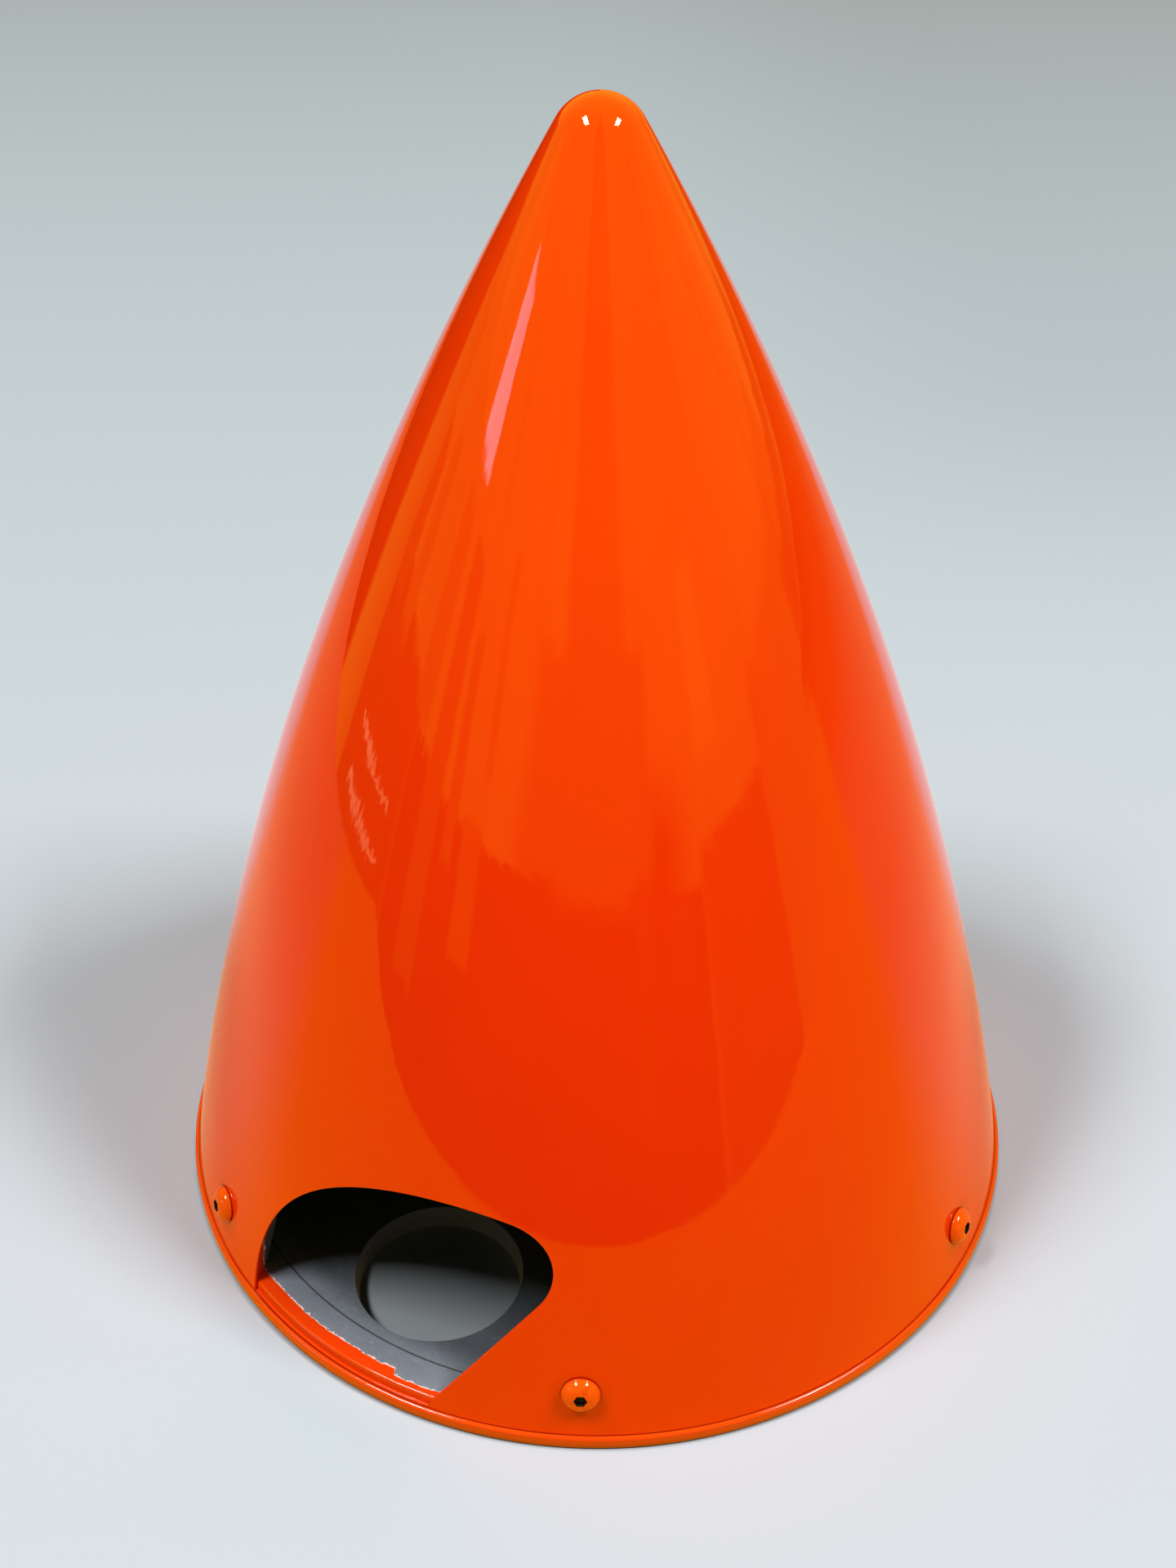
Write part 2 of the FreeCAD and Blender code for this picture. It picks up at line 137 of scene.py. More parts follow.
class SpinnerScrewSizes(bpy.types.PropertyGroup):
    """Sizes of a button-head cone screw."""
    count: IntProperty(name="Screws", description="Screws round the cone's foot", default=6)
    height: a_length("Screw height", "Height where the axes cross the cone's surface", 17.0 * MM)
    shank: a_length("Shank radius", "Radius of the shank", 2.5 * MM)
    length: a_length("Length", "Length under the cone's surface", 12.0 * MM)
    head: a_length("Head radius", "Radius of the head", 4.8 * MM)
    head_height: a_length("Head height", "Height of the domed head", 2.75 * MM)
    head_edge: a_length("Head edge", "Upright edge below the dome", 0.5 * MM, 5)
    head_bulge: a_length("Dome bulge", "Rise of the dome above its chord", 0.5 * MM, 5)
    land: a_length("Land radius", "Flat round the socket", 2.1 * MM)
    socket: a_length("Socket", "Across flats of the hexagon socket", 3.0 * MM)
    socket_depth: a_length("Socket depth", "Depth of the socket", 1.7 * MM)


class SpinnerColours(bpy.types.PropertyGroup):
    """Colours of the finishes."""
    paint: a_colour("Orange paint", "Gloss paint over the cone, rim and screws", 1.0, 0.030, 0.0004)
    # painted light: a lighter copy of the orange paint for the stronger light from above on the tip
    lit_tip_paint: a_colour("Paint at the tip", "The same paint, lighter towards the tip", 1.0, 0.051, 0.0004)
    # painted light: a yellower copy of the same orange paint for the light on the rim
    rim_paint: a_colour("Paint on the rim", "The same paint where it covers the rim", 0.92, 0.052, 0.002)
    # painted light: a lighter copy of the orange paint for the light on the screws' domed heads
    screw_paint: a_colour("Paint on the screws", "The same paint, brighter on the screws", 1.0, 0.078, 0.002)
    laminate: a_colour("Plate", "Matte charcoal laminate of the backplate", 0.205, 0.230, 0.268)
    # painted shade: dark colour for the shade at the seam between cone and rim and along the rim's lower edge
    seam: a_colour("Seam", "Shade in the seam between the cone and the rim", 0.30, 0.018, 0.002)
    primer: a_colour("Primer", "Pale primer where the paint ends", 0.85, 0.62, 0.55)
    # partly the laminate's own dark colour, partly painted shade: near black for the shade inside the cone
    inside: a_colour("Inside", "Bare laminate inside the cone", 0.006, 0.006, 0.006)
    floor: a_colour("Floor", "Pale floor", 0.520, 0.583, 0.603)
    floor_far: a_colour("Far floor", "The floor further back", 0.510, 0.590, 0.625)


class SpinnerStage(bpy.types.PropertyGroup):
    """The camera's bearing and the lamps."""
    azimuth: an_angle("Camera bearing", "Camera's direction, from -Y towards +X", 32.2)
    pitch: an_angle("Camera pitch", "How far the camera looks down", 37.0)
    ceiling: a_length("Ceiling", "Height of the ceiling lamps", 2.4)
    lamp_power: FloatProperty(name="Lamp power", description="Power of the left ceiling lamp, in watts",
                              default=59.0)
    ambient: FloatProperty(name="Ambient", description="Level of the soft light from all round", default=0.03)
    table_front: a_length("Table front", "Distance from the axis to the table's near edge", 0.25)
    table_left: a_length("Table left", "Distance from the axis to the table's left edge", 0.70)


# ---------------------------------------------------------------- shapes shared by the pieces

class Ogive:
    """The cone's outer surface and the surfaces parallel to it."""
    LEVEL_TO, SQUARE_FROM = 120 * MM, 180 * MM            # heights where the wall's direction changes
    ALONG_BLADES, ROUND_FOOT = radians(27), radians(50)   # and azimuths, counted from the blades
    TIP_STEPS = 10

    def __init__(self, cone):
        self.arc = cone.ogive_radius
        self.tip = cone.tip_radius
        self.foot_radius = RIM_RADIUS - cone.ledge
        self.lean = cone.foot_lean
        self.centre_r = self.foot_radius - self.arc * cos(self.lean)
        self.centre_z = FOOT_Z - self.arc * sin(self.lean)
        self.tip_z = self.centre_z + sqrt((self.arc - self.tip) ** 2 - self.centre_r ** 2)
        self.shoulder = atan2(self.tip_z - self.centre_z, -self.centre_r)

    def radius(self, z, depth=0.0):
        return self.centre_r + sqrt((self.arc - depth) ** 2 - (z - self.centre_z) ** 2)

    def normal(self, point):
        """Outward normal of the surface at or below a point."""
        r = hypot(point.x, point.y)
        if atan2(point.z - self.centre_z, r - self.centre_r) > self.shoulder:
            return (point - Vector((0, 0, self.tip_z))).normalized()
        across = Vector((point.x, point.y, 0)).normalized() * (r - self.centre_r)
        return (across + AXIS * (point.z - self.centre_z)).normalized()

    def below(self, point, depth):
        """The point `depth` under a point of the skin: along the blades near the openings, level round the
        rest of the foot and square to the wall towards the tip."""
        square = point - self.normal(point) * depth
        if point.z > self.SQUARE_FROM:
            return square
        azimuth = atan2(point.x, abs(point.y))
        radius = self.radius(point.z, depth)
        level = Vector((sin(azimuth) * radius, cos(azimuth) * radius, point.z))
        share = smooth_step(self.ALONG_BLADES, self.ROUND_FOOT, abs(azimuth))
        if share < 1:
            along = Vector((point.x, sqrt(radius ** 2 - point.x ** 2), point.z))
            level = along.lerp(level, share)
        level.y = level.y if point.y > 0 else -level.y
        return level.lerp(square, smooth_step(self.LEVEL_TO, self.SQUARE_FROM, point.z))

    def profile(self, along):
        """Points from the foot to the top, in the XZ plane."""
        wall = arc_points((self.centre_r, self.centre_z), self.arc, self.lean, self.shoulder, along - self.TIP_STEPS)
        tip = arc_points((0, self.tip_z), self.tip, self.shoulder, pi / 2, self.TIP_STEPS)
        return [Vector((r, 0, z)) for r, z in wall[:-1] + tip[:-1] + [(0, self.tip_z + self.tip)]]


def smooth_step(low, high, value):
    """0 below `low`, 1 above `high`, smooth between."""
    share = min(max((value - low) / (high - low), 0), 1)
    return share * share * (3 - 2 * share)


class Outline:
    """A blade opening's outline in the XZ plane: two arcs that meet smoothly, and a straight edge."""

    def __init__(self, opening, margin=0.0):
        self.back = Vector((opening.back_centre[0], opening.back_centre[1]))
        self.bearing = opening.nose_bearing
        self.slope = opening.face_angle
        self.nose = self.back + Vector((cos(self.bearing), sin(self.bearing))) * (
            opening.back_radius - opening.nose_radius)
        self.back_radius = opening.back_radius + margin
        self.nose_radius = opening.nose_radius + margin
        self.off_face = Vector((sin(self.slope), -cos(self.slope)))
        self.face_top = self.nose + self.off_face * self.nose_radius

    def tangents(self, back_steps, nose_steps):
        """(point, outward direction) of the lines that touch the outline, from its left foot over the top."""
        back = [(self.back, self.back_radius, pi + (self.bearing - pi) * k / back_steps) for k in range(back_steps)]
        turn = self.slope - pi / 2 - self.bearing
        nose = [(self.nose, self.nose_radius, self.bearing + turn * k / nose_steps) for k in range(nose_steps + 1)]
        touching = []
        for centre, radius, angle in back + nose:
            outward = Vector((cos(angle), sin(angle)))
            touching.append((centre + outward * radius, outward))
        return touching

    def outward(self, place):
        """Direction away from the opening at a place on its edge."""
        from_back = place - self.back
        if from_back.x * sin(self.bearing) - from_back.y * cos(self.bearing) < 0:
            return from_back.normalized()
        from_nose = place - self.nose
        if atan2(from_nose.y, from_nose.x) > self.slope - pi / 2:
            return from_nose.normalized()
        return self.off_face

    def left(self, z):
        return self.back.x - sqrt(self.back_radius ** 2 - (z - self.back.y) ** 2)

    def right(self, z):
        return self.face_top.x + (z - self.face_top.y) / tan(self.slope)


def screw_turns(screw):
    """Azimuths of the screws, counted from -Y towards +X."""
    return [2 * pi * (k + 0.5) / screw.count for k in range(screw.count)]


def screw_place(screw, ogive, azimuth):
    """Puts a screw's own frame (+Z along its axis, 0 on the cone's surface, +Y up the wall) into place."""
    lean = asin((screw.height - ogive.centre_z) / ogive.arc)
    up = Matrix.Rotation(pi / 2 - lean, 4, "X")
    out = Matrix.Translation((0, -ogive.radius(screw.height), screw.height))
    return Matrix.Rotation(azimuth, 4, "Z") @ out @ up


def arc_points(centre, radius, start, end, steps):
    """Points (across, up) along an arc, both ends included."""
    return [(centre[0] + radius * cos(start + (end - start) * k / steps),
             centre[1] + radius * sin(start + (end - start) * k / steps)) for k in range(steps + 1)]


def with_parts(faces):
    """Faces with their points and edges."""
    return list({v for f in faces for v in f.verts}) + list({e for f in faces for e in f.edges}) + list(faces)


def extruded(bm, edges):
    """Extrudes edges in place and gives the new points and the new edges."""
    made = bmesh.ops.extrude_edge_only(bm, edges=edges)["geom"]
    fresh = {v for v in made if isinstance(v, bmesh.types.BMVert)}
    return fresh, [e for e in made if isinstance(e, bmesh.types.BMEdge) and fresh.issuperset(e.verts)]


def drawn_out(bm, edges, steps, centre=(0.0, 0.0)):
    """Extrudes a round loop through (radius, height) steps about a centre and gives the last loop."""
    for radius, height in steps:
        fresh, edges = extruded(bm, edges)
        for vert in fresh:
            away = Vector((vert.co.x - centre[0], vert.co.y - centre[1])).normalized() * radius
            vert.co = Vector((centre[0] + away.x, centre[1] + away.y, height))
    return edges


def ring(bm, radius, height, segments, centre=(0.0, 0.0)):
    """A bare round loop and its edges."""
    place = Matrix.Translation((centre[0], centre[1], height))
    verts = bmesh.ops.create_circle(bm, radius=radius, segments=segments, matrix=place)["verts"]
    return list({edge for vert in verts for edge in vert.link_edges})


def finished(name, bm, finishes, node, sharp=None):
    """Turns a bmesh into a piece that rides on the part and stands for a CAD node."""
    mesh = bpy.data.meshes.new(name)
    bm.to_mesh(mesh)
    bm.free()
    mesh.shade_smooth()
    if sharp is not None:
        mesh.set_sharp_from_angle(angle=sharp)
    for finish in finishes:
        mesh.materials.append(finish)
    piece = bpy.data.objects.new(name, mesh)
    bpy.context.scene.collection.objects.link(piece)
    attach(piece, "root")
    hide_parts(node)
    return piece


# ---------------------------------------------------------------- finishes

class Wire:
    """A node's output, with Python's arithmetic on it."""

    def __init__(self, finish, socket):
        self.finish = finish
        self.socket = socket

    def __add__(self, other):
        return self.finish.maths("ADD", self, other)

    def __radd__(self, other):
        return self.finish.maths("ADD", other, self)

    def __sub__(self, other):
        return self.finish.maths("SUBTRACT", self, other)

    def __rsub__(self, other):
        return self.finish.maths("SUBTRACT", other, self)

    def __mul__(self, other):
        return self.finish.maths("MULTIPLY", self, other)

    def __rmul__(self, other):
        return self.finish.maths("MULTIPLY", other, self)

    def __truediv__(self, other):
        return self.finish.maths("DIVIDE", self, other)


class Nodes:
    """Adds nodes to a node tree."""

    def __init__(self, tree):
        self.tree = tree

    def node(self, kind, options=None, sockets=None, output=0):
        """Adds a node: its settings first, then the values or wires of its sockets."""
        made = self.tree.nodes.new(kind)
        for name, value in (options or {}).items():
            setattr(made, name, value)
        for socket, value in (sockets or {}).items():
            self.join(made.inputs[socket], value)
        return Wire(self, made.outputs[output])

    def join(self, socket, value):
        if isinstance(value, Wire):
            self.tree.links.new(value.socket, socket)
        else:
            socket.default_value = value

    def maths(self, operation, *values):
        return self.node("ShaderNodeMath", {"operation": operation}, dict(enumerate(values)))

    def place(self):
        """Object coordinates: a vector and its x, y, z."""
        vector = self.node("ShaderNodeTexCoord", output="Object")
        return vector, [self.node("ShaderNodeSeparateXYZ", {}, {0: vector}, output=k) for k in range(3)]

    def distance(self, across, up):
        """How far a place is from where both wires are 0."""
        return self.maths("SQRT", across * across + up * up)

    def stretched(self, vector, scale):
        return self.node("ShaderNodeMapping", {}, {"Vector": vector, "Scale": scale})

    def noise(self, vector, scale, detail=4.0, roughness=0.5, distortion=0.0):
        return self.node("ShaderNodeTexNoise", {}, {"Vector": vector, "Scale": scale, "Detail": detail,
                                                    "Roughness": roughness, "Distortion": distortion})

    def blend(self, share, low, high):
        return self.node("ShaderNodeMix", {"data_type": "RGBA"}, {0: share, 6: low, 7: high}, output=2)

    def between(self, value, low, high):
        """0 below `low`, 1 above `high`, smooth between; the other way round if low is above high."""
        ends = {"From Min": low, "From Max": high, "To Min": 0.0, "To Max": 1.0}
        if low > high:
            ends = {"From Min": high, "From Max": low, "To Min": 1.0, "To Max": 0.0}
        return self.node("ShaderNodeMapRange", {"interpolation_type": "SMOOTHSTEP"}, {"Value": value, **ends})

    def band(self, value, low, high, soft):
        """1 from `low` to `high` and 0 outside, over soft ends inside them."""
        return self.between(value, low, low + soft) * self.between(value, high, high - soft)

    def bump(self, height, strength, distance, below=None):
        sockets = {"Height": height, "Strength": strength, "Distance": distance}
        if below is not None:
            sockets["Normal"] = below
        return self.node("ShaderNodeBump", {}, sockets)


class Finish(Nodes):
    """One material: a Principled shader and what drives it."""

    def __init__(self, name, **values):
        self.material = bpy.data.materials.new(name)
        self.material.use_nodes = True
        super().__init__(self.material.node_tree)
        self.shader = self.tree.nodes["Principled BSDF"]
        for socket, value in values.items():
            self.shader.inputs[socket.replace("_", " ")].default_value = value

    def drive(self, socket, value):
        self.join(self.shader.inputs[socket], value)


def made_once(maker):
    """Keeps one copy of a finish for all the pieces that wear it."""
    kept = []

    def get(*groups):
        if not kept:
            kept.append(maker(*groups))
        return kept[0]
    return get


def shaded(colour, level=1.0):
    """A colour, darker or lighter."""
    return tuple(channel * level for channel in colour[:3]) + (1,)


PAINT_OPTICS = {"IOR": 1.5, "Specular_Tint": (1.0, 0.95, 0.6, 1)}
# radius that places the painted shade round the screws
SCREW_SHADE_RADIUS = 113.5 * MM            # turns an angle round the foot into a distance
PAINT_EDGE = 109.0 * MM              # radius where the paint ends on the plate
# near black for painted shade on the plate and in its scribed line
PAINTED_SHADE_BLACK = (0.01, 0.011, 0.012, 1)


def orange_peel(finish, vector):
    """The fine unevenness of a sprayed gloss coat."""
    below = finish.bump(finish.noise(vector, 38.0, 2.0), 0.10, 1.0 * MM)
    return finish.bump(finish.noise(vector, 260.0, 2.0), 0.10, 0.08 * MM, below)


@made_once
def gloss_orange_paint(screw, colours):
    """Gloss paint with painted light that makes it lighter towards the tip, and painted shade round the screws' heads
    and along the foot.
    """
    finish = Finish("gloss_orange_paint", **PAINT_OPTICS)
    vector, (x, y, z) = finish.place()
    # painted light: the paint turns lighter towards the tip, where more light falls
    up = finish.between(z, 120 * MM, 295 * MM)
    colour = finish.blend(up, shaded(colours.paint), shaded(colours.lit_tip_paint))
    cloud = finish.noise(vector, 14.0, 3.0)
    colour = finish.blend(finish.between(cloud, 0.35, 0.75) * 0.35, colour, shaded(colours.paint, 0.9))

    half_step = pi / screw.count
    turn = finish.maths("ARCTAN2", x, y * -1)
    aside = (half_step - finish.maths("PINGPONG", turn, half_step)) * SCREW_SHADE_RADIUS
    # painted shadow: a dark ring round each screw's head for the gap under it, and a soft dark patch below the head
    # for its cast shadow
    painted_gap_shadow = finish.between(finish.distance(aside, z - screw.height), 5.4 * MM, 5.0 * MM)
    painted_shadow_below_head = finish.between(finish.distance(aside, z - (screw.height - 1.5 * MM)), 9.8 * MM, 4.5 * MM)
    colour = finish.blend(painted_shadow_below_head * 0.22 + painted_gap_shadow * 0.5, colour, shaded(colours.paint, 0.12))
    # painted shade: the paint darkens to the seam colour just above the foot, for the shade in the gap at the rim
    foot = finish.between(z, FOOT_Z + 0.35 * MM, FOOT_Z + 0.1 * MM)
    finish.drive("Base Color", finish.blend(foot, colour, shaded(colours.seam)))

    smears = finish.noise(finish.stretched(vector, (1.0, 1.0, 0.25)), 60.0, 5.0)
    finish.drive("Roughness", 0.025 + finish.between(smears, 0.45, 0.8) * 0.05)
    finish.drive("Normal", orange_peel(finish, vector))
    return finish.material


@made_once
def screw_paint(colours):
    """The same paint in a lighter copy, as painted light on the domed heads, worn a little thinner in spots."""
    finish = Finish("gloss_orange_screws", **PAINT_OPTICS)
    vector, _ = finish.place()
    spots = finish.noise(vector, 500.0, 3.0)
    finish.drive("Base Color", finish.blend(finish.between(spots, 0.5, 0.8), shaded(colours.screw_paint),
                                            shaded(colours.screw_paint, 0.75)))
    finish.drive("Roughness", spots * 0.06)
    finish.drive("Normal", orange_peel(finish, vector))
    return finish.material


@made_once
def bare_and_shaded_inside(colours):
    """Dark, bare and uneven laminate, made darker still as painted shade inside the cone."""
    finish = Finish("bare_and_shaded_inside", IOR=1.45)
    vector, _ = finish.place()
    cloud = finish.noise(vector, 90.0, 5.0)
    finish.drive("Base Color", finish.blend(cloud, shaded(colours.inside), shaded(colours.inside, 1.8)))
    finish.drive("Roughness", 0.55 + cloud * 0.3)
    finish.drive("Normal", finish.bump(finish.noise(vector, 700.0, 3.0), 0.4, 0.2 * MM))
    return finish.material


@made_once
def plate_laminate(plate, colours):
    """Scuffed matte laminate, with a scribed line, painted shade under the cone, on the flange, in the scribed line,
    at the seam and along the rim's lower edge, painted light on the holes' walls, and the ragged edge of the cone's
    paint.
    """
    finish = Finish("matte_laminate", IOR=1.45)
    vector, (x, y, z) = finish.place()
    radius = finish.distance(x, y)
    step = FOOT_Z + plate.spigot
    base = shaded(colours.laminate)

    cloud = finish.noise(vector, 45.0, 5.0, 0.6)
    colour = finish.blend(finish.between(cloud, 0.3, 0.7), shaded(base, 0.80), base)
    scuffs = finish.noise(finish.stretched(vector, (1.0, 3.0, 1.0)), 420.0, 6.0, 0.7, 0.6)
    colour = finish.blend(finish.between(scuffs, 0.55, 0.75) * 0.5, colour, (0.42, 0.45, 0.50, 1))
    grain = finish.noise(vector, 900.0, 3.0, 0.6)
    colour = finish.blend(finish.between(grain, 0.35, 0.75) * 0.35, colour, shaded(base, 0.6))

    # painted shade: the plate darkens inside the cone and on the flange, where less light reaches
    painted_shade_under_cone = finish.between(radius, 103.5 * MM, 95 * MM)
    painted_shade_on_flange = finish.between(z, step + 0.1 * MM, step + 0.7 * MM)
    colour = finish.blend(painted_shade_under_cone * 0.62 + painted_shade_on_flange * 0.8, colour, PAINTED_SHADE_BLACK)
    # painted light: the walls of the holes are made lighter grey for the light on them
    painted_light_in_holes = finish.between(z, step, step - 0.2 * MM) * finish.between(radius, 102.0 * MM, 101.5 * MM)
    colour = finish.blend(painted_light_in_holes * 0.5, colour, (0.50, 0.51, 0.51, 1))
    # painted shade: the scribed line is darkened for the shade in its groove
    half_line = plate.scribe_width / 2
    scribed = finish.band(radius, plate.scribe_radius - half_line, plate.scribe_radius + half_line, 0.1 * MM)
    colour = finish.blend(scribed * 0.8, colour, PAINTED_SHADE_BLACK)

    # the paint ends on the step, with a jog where the mask was lapped, and a ragged edge of primer shows
    jog = finish.between(x * -1 / y, 0.075, 0.085)
    coarse = finish.noise(vector, 260.0, 5.0, 0.7) - 0.5
    fine = finish.noise(vector, 900.0, 4.0, 0.7) - 0.42
    edge = radius - jog * (1.6 * MM) + coarse * (1.6 * MM)
    painted = finish.between(edge, PAINT_EDGE - 0.05 * MM, PAINT_EDGE)
    primed = finish.between(edge + fine * (3.2 * MM), PAINT_EDGE - 0.05 * MM, PAINT_EDGE)
    colour = finish.blend(primed, colour, shaded(colours.primer))
    colour = finish.blend(painted, colour, shaded(colours.rim_paint))
    # painted shade: a dark ring on the ledge where the cone stands, for the shade in the gap
    seam = finish.band(radius, 113.4 * MM, 114.15 * MM, 0.2 * MM)
    seam = seam * finish.between(z, FOOT_Z - 0.2 * MM, FOOT_Z - 0.1 * MM)
    colour = finish.blend(seam, colour, shaded(colours.seam))
    # painted shade: the rim's paint darkens towards its lower edge, for the shade near the floor
    painted_shade_low_rim = finish.between(z + coarse * (0.6 * MM), 2.2 * MM, 0.3 * MM) * painted
    finish.drive("Base Color", finish.blend(painted_shade_low_rim * 0.75, colour, shaded(colours.seam)))
    finish.drive("Roughness", (1 - painted) * 0.5 + 0.05)
    finish.drive("Normal", finish.bump(grain, 0.35, 0.12 * MM))
    return finish.material


def mottled_metal(name, dark, light, mottle, grain, roughness):
    """Bare metal: the scales of its mottling and of its fine relief, and its lowest and added roughness."""
    finish = Finish(name, Metallic=1.0)
    vector, _ = finish.place()
    cloud = finish.noise(vector, mottle, 4.0)
    finish.drive("Base Color", finish.blend(cloud, dark, light))
    finish.drive("Roughness", roughness[0] + cloud * roughness[1])
    finish.drive("Normal", finish.bump(finish.noise(vector, grain, 2.0), 0.2, 0.1 * MM))
    return finish.material


@made_once
def plated_steel():
    return mottled_metal("plated_steel", (0.45, 0.42, 0.36, 1), (0.62, 0.58, 0.50, 1), 300.0, 1500.0, (0.28, 0.3))


@made_once
def rivet_metal():
    return mottled_metal("rivet_metal", (0.58, 0.59, 0.60, 1), (0.75, 0.76, 0.77, 1), 500.0, 1800.0, (0.32, 0.25))


@made_once
def black_oxide_and_shade():
    """The unpainted, oiled socket of a screw, with a few brown spots; its near-black colour is partly the oxide's own
    and partly painted shade in the socket.
    """
    finish = Finish("black_oxide_and_shade", Metallic=0.5, IOR=1.5)
    vector, _ = finish.place()
    cloud = finish.noise(vector, 900.0, 4.0)
    spots = finish.between(cloud, 0.45, 0.75)
    # partly the oxide's own black, partly painted shade in the socket
    finish.drive("Base Color", finish.blend(spots, (0.010, 0.009, 0.008, 1), (0.06, 0.035, 0.02, 1)))
    finish.drive("Roughness", 0.35 + cloud * 0.3)
    finish.drive("Normal", finish.bump(finish.noise(vector, 2500.0, 2.0), 0.3, 0.1 * MM))
    return finish.material


# ---------------------------------------------------------------- pieces

class SPINNER_OT_nose_cone(bpy.types.Operator):
    """Make the nose cone's shell with its two blade openings"""
    bl_idname = "spinner.nose_cone"
    bl_label = "Nose cone"

    def execute(self, context):
        scene = context.scene
        cone, colours = scene.spinner_cone, scene.spinner_colours
        ogive = Ogive(cone)
        bm = bmesh.new()
        kept_normal = bm.verts.layers.float_vector.new("kept_normal")
        number = bm.verts.layers.int.new("number")
        profile = [bm.verts.new(point) for point in ogive.profile(cone.along)]
        edges = [bm.edges.new(pair) for pair in zip(profile, profile[1:])]
        bmesh.ops.spin(bm, geom=profile + edges, axis=AXIS, angle=2 * pi, steps=cone.around, use_merge=True)
        bmesh.ops.remove_doubles(bm, verts=bm.verts, dist=MERGE)
        bmesh.ops.recalc_face_normals(bm, faces=bm.faces)

        outline = Outline(scene.spinner_opening, cone.edge_round)
        for side in (-1, 1):
            self.cut_opening(bm, outline, side)
        skin = list(bm.faces)
        rim = [e for e in bm.edges if e.is_boundary]
        self.turn_edges(bm, rim, ogive, outline, cone, kept_normal, number)

        for vert in {v for face in skin for v in face.verts}:
            vert[kept_normal] = ogive.normal(vert.co)
        copied = bmesh.ops.duplicate(bm, geom=with_parts(skin))["geom"]
        inner = [part for part in copied if isinstance(part, bmesh.types.BMFace)]
        for vert in [part for part in copied if isinstance(part, bmesh.types.BMVert)]:
            vert[kept_normal] = -vert[kept_normal]
            vert.co = ogive.below(vert.co, cone.wall)
        bmesh.ops.reverse_faces(bm, faces=inner)
        for face in inner:
            face.material_index = 1
        bmesh.ops.remove_doubles(bm, verts=bm.verts, dist=2 * MERGE)

        finishes = [gloss_orange_paint(scene.spinner_screw, colours), bare_and_shaded_inside(colours)]
        piece = finished("nose_cone_shell", bm, finishes, "nose_cone")
        held = piece.data.attributes["kept_normal"]
        piece.data.normals_split_custom_set_from_vertices([Vector(item.vector) for item in held.data])
        for name in ("kept_normal", "number"):
            piece.data.attributes.remove(piece.data.attributes[name])
        return {"FINISHED"}

    def cut_opening(self, bm, outline, side):
        """Takes one opening out of the skin, with planes that touch its outline all round."""
        half_width, height = 60 * MM, 80 * MM     # of a window that holds the opening
        back_steps, nose_steps = 72, 30
        centres = {f: f.calc_center_median() for f in bm.faces}
        inside = [f for f, c in centres.items() if c.y * side > 0 and c.z < height and abs(c.x) < half_width]
        for place, outward in outline.tangents(back_steps, nose_steps):
            point = Vector((-side * place.x, 0, place.y))
            normal = Vector((-side * outward.x, 0, outward.y))
            cut = bmesh.ops.bisect_plane(bm, geom=with_parts(inside), dist=MERGE, plane_co=point, plane_no=normal)
            inside = [f for f in cut["geom"] if isinstance(f, bmesh.types.BMFace)
                      and (f.calc_center_median() - point).dot(normal) < 0]
        bmesh.ops.delete(bm, geom=inside, context="FACES")

    def turn_edges(self, bm, edges, ogive, outline, cone, kept_normal, number):
        """Rounds the skin's edges over through the wall, down to the inner surface."""
        above_foot = FOOT_Z + 10 * MERGE
        start = {}
        for vert in {v for e in edges for v in e.verts}:
            vert[number] = len(start) + 1
            side = 1 if vert.co.y > 0 else -1
            cut = any(e.is_boundary and max(v.co.z for v in e.verts) > above_foot for e in vert.link_edges)
            outward = outline.outward(Vector((-side * vert.co.x, vert.co.z))) if cut else None
            start[vert[number]] = (vert.co.copy(), side, outward)
        quarter = [radians(angle) for angle in (22.5, 45, 67.5, 90)]
        outer = [(cone.edge_round * sin(a), cone.edge_round * (1 - cos(a)), a) for a in quarter]
        inner = [(inset, cone.wall - depth, pi - a) for inset, depth, a in reversed(outer)]
        for inset, depth, turn in outer + inner + [(0.0, cone.wall, pi)]:
            fresh, edges = extruded(bm, edges)
            for vert in fresh:
                point, side, outward = start[vert[number]]
                normal = ogive.normal(point)
                if outward is None:
                    vert.co = ogive.below(point, depth)
                    vert[kept_normal] = normal * cos(turn) - AXIS * sin(turn)
                    continue
                away = Vector((-side * outward.x, 0, outward.y))
                moved = point - away * inset
                moved.z = max(moved.z, FOOT_Z) if point.z > above_foot else FOOT_Z
                vert.co = ogive.below(moved, depth)
                vert[kept_normal] = normal * cos(turn) - away * sin(turn)


